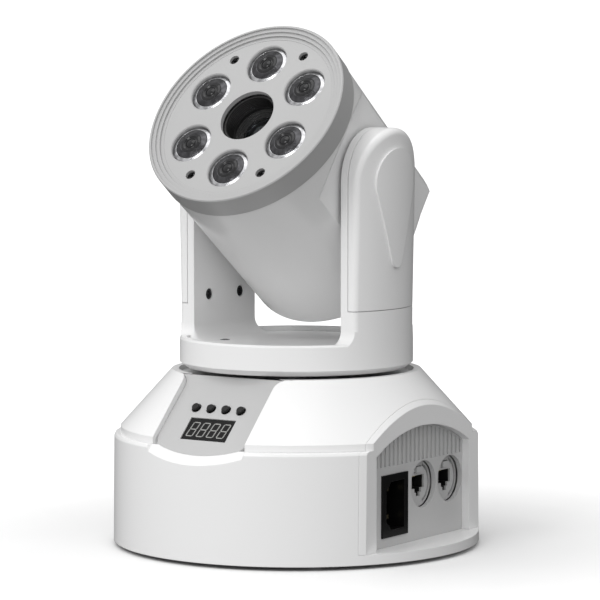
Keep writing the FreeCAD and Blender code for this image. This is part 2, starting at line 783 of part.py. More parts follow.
def face_screws():
    screws = []
    for angle in screw_angles:
        x, y = polar(screw_pitch_radius, angle)
        head = cylinder(2.5, face_front - 2.6, face_front - 1.2, x, y)
        screws.append(on_head(head.fuse(cylinder(1.4, 38.8, face_front - 2.5, x, y)).removeSplitter()))
    return Part.makeCompound(screws)


def front_lenses():
    lenses = []
    for x, y in lens_places():
        rim = cylinder(lens_rim_radius, 50.2, 53.1)
        dome = Part.makeSphere(16, V(0, 0, 38.6)).common(cylinder(9.6, 53.0, 60))
        lens = rim.fuse(dome).removeSplitter()
        lens.translate(V(x, y, 0))
        lenses.append(on_head(lens))
    return Part.makeCompound(lenses)


def reflectors():
    cups = []
    for x, y in lens_places():
        cup = turned([(lens_rim_radius, 50.1), (lens_rim_radius, 48.6), (6.0, 38.8), (3.2, 38.8), (6.4, 42.5), (9.2, 46.6), (10.8, 50.1)])
        cup.translate(V(x, y, 0))
        cups.append(on_head(cup))
    return Part.makeCompound(cups)


def led_board():
    board = cylinder(49.5, 37.0, 38.6).cut(cylinder(15.4, 30, 40))
    return on_head(board.common(box(-44.5, 44.5, -60, 60, 30, 40)))


def led_chips():
    return Part.makeCompound([on_head(box(x - 2, x + 2, y - 2, y + 2, 38.6, 39.9)) for x, y in lens_places()])


def centre_tube():
    body = tube(centre_hole_radius - 0.2, tube_bore, 22, face_front - 3.0)
    seat = tube(tube_bore + 0.1, tube_bore - 1.8, lens_seat - 3.0, lens_seat)
    return on_head(body.fuse(seat).removeSplitter())


def centre_lens():
    disc = cylinder(tube_bore - 0.05, lens_seat + 0.1, lens_seat + 2.0)
    dome = Part.makeSphere(24, V(0, 0, lens_seat - 20.1)).common(cylinder(retainer_bore - 0.2, lens_seat + 1.9, 50))
    return on_head(disc.fuse(dome).removeSplitter())


def lens_retainer():
    outer, step = tube_bore - 0.05, (tube_bore - retainer_bore) / 3
    ring = turned([(outer, lens_seat + 2.1), (outer, retainer_top), (outer - step, retainer_top),
                   (outer - step, retainer_top - 0.7), (outer - 2 * step, retainer_top - 0.7),
                   (outer - 2 * step, retainer_top - 1.4), (retainer_bore, retainer_top - 1.4),
                   (retainer_bore, lens_seat + 2.1)])
    return on_head(ring)


def centre_module():
    body = cylinder(12.5, 14, 21.8)
    chip = box(-4, 4, -4, 4, 21.7, 22.9)
    return on_head(body.fuse(chip).removeSplitter())


def heat_sink():
    plate = cylinder(49.5, 33.0, 37.0).cut(cylinder(15.4, 0, 50))
    parts = [plate.common(box(-41.5, 41.5, -60, 60, 30, 40))]
    for i in range(11):
        x = (i - 5) * 6.4
        fin = box(x - 0.9, x + 0.9, -36, 36, 10, 33.1)
        parts.append(fin.cut(box(-17, 17, -17, 17, 9, 34)))
    parts.append(tube(17.5, 15.4, 10, 33.1).cut(box(-60, 60, -60, 60, 0, 9)))
    return on_head(fuse_all(parts))


def fan_frame():
    body = box(-30, 30, -30, 30, -46, -31)
    body = body.cut(cylinder(28, -50, -20))
    struts = [box(-30, 30, -1.2, 1.2, -33, -31), box(-1.2, 1.2, -30, 30, -33, -31)]
    motor = cylinder(9, -34, -31)
    stem = cylinder(1.5, -41, -33.9)
    mounts = []
    for sx in (-1, 1):
        for sy in (-1, 1):
            mounts.append(cylinder(2.5, -50.2, -46, sx * 26, sy * 26))
    return on_head(fuse_all([body, motor, stem] + struts + mounts))


def fan_rotor():
    hub = cylinder(10, -45, -34.6).cut(cylinder(1.55, -50, -30))
    parts = [hub]
    for i in range(7):
        blade = Part.makeBox(17.5, 1.0, 13.0, V(9.5, -0.5, -6.5))
        blade.rotate(V(0, 0, 0), X_AXIS, 48)
        blade.translate(V(0, 0, -39.8))
        blade.rotate(V(0, 0, 0), Z_AXIS, 360 / 7 * i)
        parts.append(blade.common(tube(27.2, 9.4, -45, -34.6)))
    return on_head(fuse_all(parts))


def rear_cover():
    dome_radius = (back_radius ** 2 + 12.0 ** 2) / (2 * 12.0)
    outer = Part.makeSphere(dome_radius, V(0, 0, cap_back + dome_radius))
    outer = outer.common(cylinder(back_radius - 0.4, cap_back, shell_back))
    outer = outer.common(box(-flat_x, flat_x, -60, 60, cap_back - 1, shell_back))
    inner = Part.makeSphere(dome_radius - head_wall, V(0, 0, cap_back + dome_radius))
    inner = inner.common(box(-flat_x + head_wall, flat_x - head_wall, -60, 60, cap_back, shell_back + 1))
    inner = inner.common(cylinder(back_radius - 0.4 - head_wall, cap_back, shell_back + 1))
    body = outer.cut(inner)
    for i in range(9):
        y = (i - 4) * 6.0
        half = math.sqrt(29.0 ** 2 - y ** 2)
        body = body.cut(box(-half, half, y - 1.5, y + 1.5, cap_back - 2, shell_back + 2))
    rib = box(-1.5, 1.5, -28, 28, cap_back + 0.4, cap_back + 2.4)
    return on_head(body.fuse(rib).removeSplitter())


def tilt_shafts():
    shaft = tube_x(tilt_shaft_radius, 5.0, flat_x - head_wall - 3.0, 57.4)
    flange = tube_x(14, 5.0, flat_x - head_wall - 3.0, flat_x - head_wall)
    shaft = shaft.fuse(flange).removeSplitter()
    other = mirrored(tube_x(tilt_shaft_radius, 5.0, flat_x - head_wall - 3.0, 52.0).fuse(flange))
    return Part.makeCompound([on_head(shaft), on_head(other.removeSplitter())])


MAKERS = {
    "base_shell": base_shell,
    "base_top_cover": base_top_cover,
    "bottom_plate": bottom_plate,
    "rubber_feet": rubber_feet,
    "bottom_screws": bottom_screws,
    "control_panel": control_panel,
    "display_window": display_window,
    "display_module": display_module,
    "control_board": control_board,
    "button_switches": button_switches,
    "connector_frame": connector_frame,
    "connector_panel": connector_panel,
    "power_inlet": power_inlet,
    "inlet_pins": inlet_pins,
    "power_supply": power_supply,
    "main_board": main_board,
    "pan_plate": pan_plate,
    "pan_bearing": pan_bearing,
    "pan_motor": pan_motor,
    "pan_motor_pulley": pan_motor_pulley,
    "pan_belt": pan_belt,
    "yoke_frame": yoke_frame,
    "yoke_bottom_plate": yoke_bottom_plate,
    "arm_cover_right": arm_cover,
    "arm_cover_left": lambda: mirrored(arm_cover()),
    "arm_screws": arm_screws,
    "pan_shaft": pan_shaft,
    "pan_pulley": pan_pulley,
    "tilt_bearings": tilt_bearings,
    "tilt_motor": tilt_motor,
    "tilt_motor_pulley": tilt_motor_pulley,
    "tilt_belt": tilt_belt,
    "head_shell": head_shell,
    "head_front_ring": head_front_ring,
    "face_plate": face_plate,
    "face_screws": face_screws,
    "front_lenses": front_lenses,
    "reflectors": reflectors,
    "led_board": led_board,
    "led_chips": led_chips,
    "centre_tube": centre_tube,
    "centre_lens": centre_lens,
    "lens_retainer": lens_retainer,
    "centre_module": centre_module,
    "heat_sink": heat_sink,
    "fan_frame": fan_frame,
    "fan_rotor": fan_rotor,
    "rear_cover": rear_cover,
    "tilt_shafts": tilt_shafts,
    "tilt_pulley": tilt_pulley,
}

for node, maker in MAKERS.items():
    save(node, maker())
for number in range(4):
    save("button_" + str(number + 1), button(number))
for label, place in zip(("in", "out"), socket_y):
    save("data_socket_" + label, data_socket(place))
    save("data_jack_" + label, data_jack(place))
    save("data_latch_" + label, data_latch(place))
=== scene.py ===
"""Looks, light and camera for the moving head light. Metres, in the CAD model's own frame."""
import json
import math

import bmesh
import bpy
from mathutils import Matrix, Vector


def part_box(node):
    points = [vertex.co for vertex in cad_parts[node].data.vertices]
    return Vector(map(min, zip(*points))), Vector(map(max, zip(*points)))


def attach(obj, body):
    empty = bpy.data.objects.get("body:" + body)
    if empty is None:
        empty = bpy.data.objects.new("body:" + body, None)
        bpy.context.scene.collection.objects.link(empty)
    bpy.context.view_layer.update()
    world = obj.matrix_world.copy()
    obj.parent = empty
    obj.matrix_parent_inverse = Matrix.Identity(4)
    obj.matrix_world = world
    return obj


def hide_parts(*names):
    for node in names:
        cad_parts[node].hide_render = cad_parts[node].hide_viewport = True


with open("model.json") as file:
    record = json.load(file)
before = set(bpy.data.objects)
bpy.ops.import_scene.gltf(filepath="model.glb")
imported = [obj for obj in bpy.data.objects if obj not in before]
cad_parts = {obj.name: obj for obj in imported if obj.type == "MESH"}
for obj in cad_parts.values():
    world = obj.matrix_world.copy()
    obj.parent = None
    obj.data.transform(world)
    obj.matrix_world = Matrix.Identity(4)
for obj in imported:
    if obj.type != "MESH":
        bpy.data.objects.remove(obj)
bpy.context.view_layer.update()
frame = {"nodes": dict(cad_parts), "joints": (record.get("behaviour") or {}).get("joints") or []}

MM = 0.001
NODES = frame["nodes"]
JOINTS = {j["name"]: j for j in frame["joints"]}

# ---- places taken from the CAD frame ----
TILT_CENTRE = Vector(JOINTS["tilt"]["pos_m"])
HEAD_AXIS = Vector(JOINTS["fan_spin"]["axis"]).normalized()
HEAD_ACROSS = Vector((1, 0, 0))
HEAD_UP = HEAD_AXIS.cross(HEAD_ACROSS).normalized()
FACET_IN = Vector(JOINTS["button_1_press"]["axis"]).normalized()
FACET_OUT = -FACET_IN
FACET_ACROSS = Vector((1, 0, 0))
FACET_UP = FACET_OUT.cross(FACET_ACROSS).normalized()

# ---- the head's face, with heights measured along the head's axis from the tilt axis ----
LENS_COUNT = 6
LENS_PITCH = 32.5 * MM
LENS_FIRST_ANGLE = 33
LENS_TURN = 360 / LENS_COUNT
LENS_RIM_RADIUS = 12.2 * MM
SCREW_PITCH = 41.7 * MM
SCREW_ANGLES = (63, 123, 243, 303)
SCREW_TOP = 54.5 * MM
TUBE_BORE = 13.5 * MM
TUBE_RADIUS = 14.8 * MM
TUBE_MOUTH = 52.7 * MM
TUBE_BACK = 22 * MM
LENS_SEAT = 37.0 * MM
RETAINER_TOP = 43.2 * MM
RETAINER_BORE = 9.6 * MM

# ---- one front lens and the bowl behind it, as plain millimetres ----
LENS_CROWN = 56.0
LENS_FALL = 0.0064
LENS_FALL_POWER = 2.4
LENS_HEART_RADIUS = 5.6
LENS_BAND_RADIUS = 8.8
LENS_EDGE_RADIUS = 11.1
LENS_RING_GAP = 0.05
LENS_BEAD_RADIUS = 2.6
LENS_BEAD_WELL = 4.2
LENS_STEPS = 8
BOWL_THROAT = 3.3
BOWL_FLARE = 7.5

# ---- the display's digits ----
DIGIT_COUNT = 4
DIGIT_PITCH = 6.2 * MM
DIGIT_SLANT = 0.14
DIGIT_LIFT = 0.56 * MM
DIGIT_HALF_WIDTH = 1.9 * MM
DIGIT_QUARTER_HEIGHT = 2.15 * MM
SEGMENT_WIDTH = 0.55 * MM
SEGMENT_GAP = 0.15 * MM
SEGMENT_DEPTH = 0.06 * MM

# ---- the screws in the arms' inner faces and in the yoke's floor ----
ARM_SCREW_SPACING = 28 * MM
ARM_SCREW_FACE = 45.7 * MM
ARM_SCREW_DROP = 2.8 * MM
FLOOR_SCREW_PLACE = (-34 * MM, -16 * MM)
FLOOR_SCREW_RISE = 1.4 * MM


# ---- material building ----
NOISE_LOW = 0.15
NOISE_HIGH = 0.85
COAT_ROUGHNESS = 0.15


def principled(name, colour, roughness, metallic=0.0):
    """A new material and its principled shader."""
    material = bpy.data.materials.new(name)
    material.use_nodes = True
    shader = material.node_tree.nodes["Principled BSDF"]
    shader.inputs["Base Color"].default_value = (*colour, 1)
    shader.inputs["Roughness"].default_value = roughness
    shader.inputs["Metallic"].default_value = metallic
    return material, shader


def noise(tree, scale, detail=3.0, stretch=None):
    """A smooth noise over the object's own coordinates."""
    coords = tree.nodes.new("ShaderNodeTexCoord")
    texture = tree.nodes.new("ShaderNodeTexNoise")
    texture.inputs["Scale"].default_value = scale
    texture.inputs["Detail"].default_value = detail
    source = coords.outputs["Object"]
    if stretch:
        mapping = tree.nodes.new("ShaderNodeMapping")
        mapping.inputs["Scale"].default_value = stretch
        tree.links.new(source, mapping.inputs["Vector"])
        source = mapping.outputs["Vector"]
    tree.links.new(source, texture.inputs["Vector"])
    return texture.outputs["Fac"]


def spread(tree, factor, low, high):
    """Map a noise, which seldom leaves NOISE_LOW..NOISE_HIGH, to the range low..high."""
    node = tree.nodes.new("ShaderNodeMapRange")
    node.interpolation_type = "SMOOTHSTEP"
    node.inputs["From Min"].default_value = NOISE_LOW
    node.inputs["From Max"].default_value = NOISE_HIGH
    node.inputs["To Min"].default_value = low
    node.inputs["To Max"].default_value = high
    tree.links.new(factor, node.inputs["Value"])
    return node.outputs["Result"]


def vary_colour(tree, shader, colour, amount, scale):
    """Slow, slight lightening and darkening of the base colour."""
    mix = tree.nodes.new("ShaderNodeMix")
    mix.data_type = "RGBA"
    mix.inputs["A"].default_value = (*[c * (1 - amount) for c in colour], 1)
    mix.inputs["B"].default_value = (*[min(1, c * (1 + amount)) for c in colour], 1)
    tree.links.new(spread(tree, noise(tree, scale, 0.0), 0, 1), mix.inputs["Factor"])
    tree.links.new(mix.outputs["Result"], shader.inputs["Base Color"])


def soften(tree, shader, radius, grain, strength, depth, stretch=None):
    """Rounded edges and a fine moulded or machined grain, as one normal."""
    bump = tree.nodes.new("ShaderNodeBump")
    bump.inputs["Strength"].default_value = strength
    bump.inputs["Distance"].default_value = depth
    tree.links.new(noise(tree, grain, 4.0, stretch), bump.inputs["Height"])
    if radius:
        bevel = tree.nodes.new("ShaderNodeBevel")
        bevel.samples = 4
        bevel.inputs["Radius"].default_value = radius
        tree.links.new(bevel.outputs["Normal"], bump.inputs["Normal"])
    tree.links.new(bump.outputs["Normal"], shader.inputs["Normal"])


def surface(name, colour, roughness, metallic=0.0, mottle=0.02, mottle_scale=22.0, grain=1500.0,
            strength=0.15, depth=0.00004, radius=0.0004, rough_spread=0.015, coat=0.0, stretch=None):
    """A moulded, painted or machined surface with its own colour variation, sheen variation and grain."""
    material, shader = principled(name, colour, roughness, metallic)
    tree = material.node_tree
    vary_colour(tree, shader, colour, mottle, mottle_scale)
    sheen = noise(tree, mottle_scale * 3.1, 0.0)
    varied = spread(tree, sheen, roughness - rough_spread, roughness + rough_spread)
    tree.links.new(varied, shader.inputs["Roughness"])
    shader.inputs["Coat Weight"].default_value = coat
    shader.inputs["Coat Roughness"].default_value = COAT_ROUGHNESS
    soften(tree, shader, radius, grain, strength, depth, stretch)
    return material


def low_gloss(material, level):
    """Turn down the reflection that a dark plastic would otherwise show of the bright surround."""
    material.node_tree.nodes["Principled BSDF"].inputs["Specular IOR Level"].default_value = level


def glass(name, tint, roughness, ior):
    """A clear, tinted material with a slightly uneven polish."""
    material, shader = principled(name, tint, roughness)
    shader.inputs["Transmission Weight"].default_value = 1.0
    shader.inputs["IOR"].default_value = ior
    tree = material.node_tree
    varied = spread(tree, noise(tree, 60.0), roughness, roughness + 0.02)
    tree.links.new(varied, shader.inputs["Roughness"])
    return material


def glow(name, colour, strength):
    """A surface that shines weakly by itself."""
    material, shader = principled(name, colour, 0.35)
    tree = material.node_tree
    vary_colour(tree, shader, colour, 0.06, 300.0)
    shader.inputs["Emission Color"].default_value = (*colour, 1)
    shader.inputs["Emission Strength"].default_value = strength
    return material


WHITE = surface("white_satin_plastic", (0.83, 0.83, 0.83), 0.30, mottle=0.003, coat=0.15, radius=0.0006,
                rough_spread=0.006)
# Painted shade: a darker copy of the base's white plastic, for the head, which sits in shade.
WHITE_HEAD_PAINTED_SHADE = surface("white_head_plastic_painted_shade", (0.76, 0.76, 0.76), 0.28, mottle=0.003, coat=0.2, radius=0.0006,
                     rough_spread=0.006)
FACE_GREY = surface("face_satin_paint", (0.40, 0.40, 0.40), 0.36, mottle=0.02, grain=2600.0,
                    strength=0.25, radius=0.0003)
PANEL_GREY = surface("panel_textured_plastic", (0.47, 0.47, 0.47), 0.55, mottle=0.03, grain=3200.0,
                     strength=0.5, depth=0.00006, radius=0.0003)
# Painted shade: the connector panel's white plastic is darkened to grey for the facet that faces away from
# the light.
CONNECTOR_WHITE_PAINTED_SHADE = surface("connector_plastic_painted_shade", (0.52, 0.52, 0.52), 0.42, mottle=0.02, grain=2200.0,
                          strength=0.25, radius=0.0004)
SOCKET_GREY = surface("socket_plastic", (0.46, 0.46, 0.46), 0.4, mottle=0.03, radius=0.0003)
BLACK = surface("black_moulded_plastic", (0.012, 0.012, 0.012), 0.38, mottle=0.2, grain=2500.0,
                strength=0.3, radius=0.0003)
INLET_BLACK = surface("inlet_black_plastic", (0.004, 0.004, 0.004), 0.3, mottle=0.2, grain=2500.0,
                      radius=0.0003)
low_gloss(INLET_BLACK, 0.2)
BUTTON_BLACK = surface("button_black", (0.006, 0.006, 0.006), 0.22, mottle=0.1, radius=0.0003)
low_gloss(BUTTON_BLACK, 0.3)
WINDOW = surface("smoked_window", (0.010, 0.010, 0.010), 0.16, mottle=0.1, strength=0.03, radius=0.0002)
low_gloss(WINDOW, 0.12)
RUBBER = surface("rubber", (0.02, 0.02, 0.02), 0.75, mottle=0.2, grain=1800.0, strength=0.5, radius=0.0005)
STEEL = surface("plated_steel", (0.55, 0.55, 0.56), 0.28, metallic=1.0, mottle=0.08, grain=900.0,
                strength=0.2, radius=0.0003, stretch=(1, 1, 14))
SCREW_STEEL = surface("screw_black_zinc", (0.05, 0.05, 0.052), 0.3, metallic=1.0, mottle=0.15, grain=2200.0,
                      strength=0.3, radius=0.0001)
PAINTED = surface("black_coated_sheet", (0.03, 0.03, 0.03), 0.5, mottle=0.1, grain=2600.0, strength=0.6,
                  depth=0.00008, radius=0.0004)
ALUMINIUM = surface("machined_aluminium", (0.72, 0.72, 0.73), 0.32, metallic=1.0, mottle=0.05,
                    grain=700.0, radius=0.0003, stretch=(10, 1, 1))
ANODISED = surface("black_anodised", (0.006, 0.006, 0.006), 0.33, mottle=0.2, grain=1500.0, radius=0.0002)
RING_EDGE = surface("worn_black_anodised", (0.12, 0.12, 0.12), 0.25, metallic=0.9, mottle=0.2, grain=1500.0,
                    radius=0.0001)
BRASS = surface("plated_brass", (0.78, 0.68, 0.42), 0.22, metallic=1.0, mottle=0.06, radius=0.0002)
BOARD = surface("solder_mask", (0.01, 0.07, 0.035), 0.35, mottle=0.15, mottle_scale=160.0, radius=0.0002)
BOARD_WHITE = surface("white_solder_mask", (0.75, 0.75, 0.75), 0.4, mottle=0.03, radius=0.0002)
PHOSPHOR = surface("led_phosphor", (0.20, 0.16, 0.06), 0.4, mottle=0.12, mottle_scale=900.0, radius=0.0002)
MIRROR = surface("reflector_mirror", (0.46, 0.46, 0.47), 0.10, metallic=1.0, mottle=0.1, mottle_scale=200.0,
                 grain=420.0, strength=0.12, radius=0.0, rough_spread=0.03)
# Painted shade: the near-black middle of each front lens and the dark metal band round it stand for the dark
# seen through a clear lens.
LENS = surface("lens_painted_dark_shade", (0.008, 0.008, 0.009), 0.07, mottle=0.2, mottle_scale=500.0, strength=0.02,
               radius=0.0)
low_gloss(LENS, 0.3)
LENS_BAND = surface("lens_band", (0.055, 0.055, 0.058), 0.14, metallic=1.0, mottle=0.3, mottle_scale=420.0,
                    grain=900.0, strength=0.6, depth=0.00016, radius=0.0, rough_spread=0.04)
LENS_RIM = surface("lens_shoulder", (0.38, 0.38, 0.39), 0.2, metallic=1.0, mottle=0.3, mottle_scale=420.0,
                   grain=900.0, strength=0.6, depth=0.00016, radius=0.0, rough_spread=0.04)
COATED_LENS = glass("coated_lens", (0.80, 0.84, 0.88), 0.02, 1.6)
SEGMENT = glow("segment_grey", (0.30, 0.30, 0.29), 0.03)

NODE_MATERIALS = {
    WHITE: ["base_shell", "base_top_cover", "connector_frame", "yoke_frame", "arm_cover_left",
            "arm_cover_right"],
    WHITE_HEAD_PAINTED_SHADE: ["head_shell", "rear_cover"],
    FACE_GREY: ["face_plate", "head_front_ring"],
    PANEL_GREY: ["control_panel"],
    CONNECTOR_WHITE_PAINTED_SHADE: ["connector_panel"],
    SOCKET_GREY: ["data_socket_in", "data_socket_out", "data_latch_in", "data_latch_out"],
    INLET_BLACK: ["power_inlet"],
    BLACK: ["fan_frame", "fan_rotor", "display_module", "button_switches",
            "data_jack_in", "data_jack_out"],
    BUTTON_BLACK: ["button_1", "button_2", "button_3", "button_4"],
    WINDOW: ["display_window"],
    RUBBER: ["rubber_feet", "pan_belt", "tilt_belt"],
    STEEL: ["pan_bearing", "tilt_bearings", "tilt_shafts", "pan_shaft", "pan_motor", "tilt_motor",
            "pan_motor_pulley", "tilt_motor_pulley", "power_supply", "pan_plate", "bottom_screws"],
    SCREW_STEEL: ["arm_screws", "face_screws"],
    PAINTED: ["bottom_plate", "yoke_bottom_plate"],
    ALUMINIUM: ["heat_sink", "centre_module", "pan_pulley", "tilt_pulley"],
    ANODISED: ["centre_tube", "lens_retainer"],
    BRASS: ["inlet_pins"],
    BOARD: ["main_board", "control_board"],
    BOARD_WHITE: ["led_board"],
    PHOSPHOR: ["led_chips"],
    MIRROR: ["reflectors"],
    LENS: ["front_lenses"],
    COATED_LENS: ["centre_lens"],
}


def paint_cad_nodes():
    """Give every CAD node its one material."""
    for material, names in NODE_MATERIALS.items():
        for name in names:
            node = NODES[name]
            node.data.materials.clear()
            node.data.materials.append(material)


# ---- mesh building ----
def piece_from(name, mesh_builder, material, body, smooth=True):
    """Make an object from a bmesh, with one material, riding on one CAD body."""
    bm = bmesh.new()
    mesh_builder(bm)
    bmesh.ops.recalc_face_normals(bm, faces=bm.faces)
    mesh = bpy.data.meshes.new(name)
    bm.to_mesh(mesh)
    bm.free()
    for polygon in mesh.polygons:
        polygon.use_smooth = smooth
    mesh.materials.append(material)
    piece = bpy.data.objects.new(name, mesh)
    bpy.context.scene.collection.objects.link(piece)
    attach(piece, body)
    return piece


def frame_matrix(origin, across, up, out):
    """The matrix that carries local X, Y and Z to across, up and out, at origin."""
    matrix = Matrix((across, up, out)).transposed().to_4x4()
    matrix.translation = origin
    return matrix


def add_lathe(bm, matrix, profile, segments=96):
    """A closed turned solid: profile is a loop of (radius, height) points, in metres."""
    rings = []
    for i in range(segments):
        a = 2 * math.pi * i / segments
        c, s = math.cos(a), math.sin(a)
        rings.append([bm.verts.new(matrix @ Vector((r * c, r * s, z))) for r, z in profile])
    count = len(profile)
    for i in range(segments):
        here, there = rings[i], rings[(i + 1) % segments]
        for k in range(count):
            n = (k + 1) % count
            bm.faces.new((here[k], there[k], there[n], here[n]))
    bmesh.ops.remove_doubles(bm, verts=bm.verts, dist=1e-7)


def add_prism(bm, matrix, outline, low, high):
    """A straight prism over a flat outline of (x, y) points."""
    bottom = [bm.verts.new(matrix @ Vector((x, y, low))) for x, y in outline]
    top = [bm.verts.new(matrix @ Vector((x, y, high))) for x, y in outline]
    bm.faces.new(bottom)
    bm.faces.new(top)
    for i in range(len(outline)):
        n = (i + 1) % len(outline)
        bm.faces.new((bottom[i], bottom[n], top[n], top[i]))


def head_matrix(x, up, height):
    """A frame on the head with Z along its axis, at a place across, up and along from the tilt axis."""
    origin = TILT_CENTRE + HEAD_ACROSS * x + HEAD_UP * up + HEAD_AXIS * height
    return frame_matrix(origin, HEAD_ACROSS, HEAD_UP, HEAD_AXIS)


def on_circle(radius, degrees):
    """The point at an angle on a circle round the origin."""
    a = math.radians(degrees)
    return radius * math.cos(a), radius * math.sin(a)


# ---- display ----
# Each segment's place, in half widths and half heights of the digit, and whether it stands upright.
SEGMENT_LAYOUT = {"top": (0, 1, 0), "middle": (0, 0, 0), "bottom": (0, -1, 0),
                  "upper_left": (-1, 0.5, 1), "upper_right": (1, 0.5, 1),
                  "lower_left": (-1, -0.5, 1), "lower_right": (1, -0.5, 1)}


def add_segment(bm, matrix, centre, length, width, upright, slant):
    """One bar of a seven-segment digit: a long hexagon, leaning with the digit."""
    half, tip = length / 2, width / 2
    shape = [(-half, 0), (-half + tip, tip), (half - tip, tip),
             (half, 0), (half - tip, -tip), (-half + tip, -tip)]
    points = []
    for x, y in shape:
        if upright:
            x, y = y, x
        x, y = x + centre[0], y + centre[1]
        points.append((x + slant * y, y))
    add_prism(bm, matrix, points, 0, SEGMENT_DEPTH)


def display_digits():
    """Four slanted digits, each with all seven segments, just above the display window."""
    low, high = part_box("display_window")
    centre_point = (low + high) / 2 + FACET_OUT * DIGIT_LIFT

    def build(bm):
        for digit in range(DIGIT_COUNT):
            origin = centre_point + FACET_ACROSS * (digit - (DIGIT_COUNT - 1) / 2) * DIGIT_PITCH
            matrix = frame_matrix(origin, FACET_ACROSS, FACET_UP, FACET_OUT)
            for x, y, upright in SEGMENT_LAYOUT.values():
                centre = (x * DIGIT_HALF_WIDTH, y * 2 * DIGIT_QUARTER_HEIGHT)
                length = 2 * (DIGIT_QUARTER_HEIGHT if upright else DIGIT_HALF_WIDTH) - SEGMENT_GAP
                add_segment(bm, matrix, centre, length, SEGMENT_WIDTH, bool(upright), DIGIT_SLANT)

    piece_from("display_digits", build, SEGMENT, "base", smooth=False)


# ---- screws ----
def add_cross_screw(bm, matrix, radius, head, shank_radius, shank):
    """A screw with a low domed head, a cross recess and a plain shank, pointing down local -Z."""
    rings, segments = 14, 48
    slot_half, slot_reach, depth, rise = radius * 0.17, radius * 0.62, head * 0.7, radius * 0.12
    centre = bm.verts.new(matrix @ Vector((0, 0, -depth)))
    previous = None
    for ring in range(1, rings + 1):
        r = radius * ring / rings
        loop = []
        for i in range(segments):
            a = 2 * math.pi * i / segments
            x, y = r * math.cos(a), r * math.sin(a)
            inner = min(abs(x), abs(y)) < slot_half and max(abs(x), abs(y)) < slot_reach
            dome = rise * (1 - (r / radius) ** 2) - rise
            loop.append(bm.verts.new(matrix @ Vector((x, y, -depth if inner else dome))))
        for i in range(segments):
            n = (i + 1) % segments
            if previous is None:
                bm.faces.new((centre, loop[i], loop[n]))
            else:
                bm.faces.new((previous[i], loop[i], loop[n], previous[n]))
        previous = loop
    for r, z in ((radius, -head), (shank_radius, -head), (shank_radius, -head - shank)):
        loop = []
        for i in range(segments):
            a = 2 * math.pi * i / segments
            loop.append(bm.verts.new(matrix @ Vector((r * math.cos(a), r * math.sin(a), z))))
        for i in range(segments):
            n = (i + 1) % segments
            bm.faces.new((previous[i], loop[i], loop[n], previous[n]))
        previous = loop
    bm.faces.new(previous)


def face_screws():
    """The four cross-head screws in the face plate."""
    def build(bm):
        for angle in SCREW_ANGLES:
            x, y = on_circle(SCREW_PITCH, angle)
            add_cross_screw(bm, head_matrix(x, y, SCREW_TOP), radius=2.5 * MM, head=1.4 * MM,
                            shank_radius=1.4 * MM, shank=14 * MM)

    piece = piece_from("face_screws_cross", build, SCREW_STEEL, "head", smooth=False)
    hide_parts("face_screws")


def arm_screws():
    """The cross-head screws in the arms' inner faces and in the yoke's floor."""
    low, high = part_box("arm_screws")

    def build(bm):
        for side in (-1, 1):
            out = Vector((-side, 0, 0))
            for y in (-ARM_SCREW_SPACING / 2, ARM_SCREW_SPACING / 2):
                origin = Vector((side * ARM_SCREW_FACE, y, high.z - ARM_SCREW_DROP))
                matrix = frame_matrix(origin, Vector((0, -side, 0)), Vector((0, 0, 1)), out)
                add_cross_screw(bm, matrix, radius=2.8 * MM, head=1.0 * MM,
                                shank_radius=1.35 * MM, shank=3.8 * MM)
        floor = Matrix.Translation((*FLOOR_SCREW_PLACE, low.z + FLOOR_SCREW_RISE))
        add_cross_screw(bm, floor, radius=2.5 * MM, head=0.9 * MM, shank_radius=1.4 * MM, shank=0.5 * MM)

    piece = piece_from("arm_screws_cross", build, SCREW_STEEL, "yoke", smooth=False)
    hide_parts("arm_screws")


# ---- optics ----
def lens_height(r):
    """The domed front of a lens, nearly flat in the middle and steeper towards its edge; r in millimetres."""
    return (LENS_CROWN - LENS_FALL * r ** LENS_FALL_POWER) * MM


def dome_points(start, end):
    """Points along a lens's domed front, from one radius in millimetres to another."""
    radii = [start + (end - start) * i / LENS_STEPS for i in range(LENS_STEPS + 1)]
    return [(r * MM, lens_height(r)) for r in radii]


def lens_heart_profile():
    """The dark middle of a front lens, painted as shade: a domed face with a small bead over the LED, on a
    flat rim.
    """
    back, ledge, seam, bead = 50.3 * MM, 51.2 * MM, LENS_HEART_RADIUS, LENS_BEAD_RADIUS
    well_depth, well_slope, bead_height, bead_steps = 0.5 * MM, 0.3, 0.9 * MM, 9
    points = [(0, back), (LENS_RIM_RADIUS, back), (LENS_RIM_RADIUS, ledge), (seam * MM, ledge)]
    points += dome_points(seam, LENS_BEAD_WELL)
    floor = lens_height(LENS_BEAD_WELL) - well_depth
    points += [((LENS_BEAD_WELL - well_slope) * MM, floor), (bead * MM, floor)]
    for i in range(bead_steps + 1):
        a = math.radians(90 * i / bead_steps)
        points.append((bead * math.cos(a) * MM, floor + bead_height * math.sin(a)))
    return points


def lens_ring_profile(inner, outer):
    """A ring of a front lens's domed face, between two radii in millimetres."""
    base = 51.3 * MM
    return [(outer * MM, base), (inner * MM, base)] + dome_points(inner, outer)


def lens_matrices():
    """A frame on the head at each front lens, with its origin level with the tilt axis."""
    places = [on_circle(LENS_PITCH, LENS_FIRST_ANGLE + LENS_TURN * i) for i in range(LENS_COUNT)]
    return [head_matrix(x, y, 0) for x, y in places]


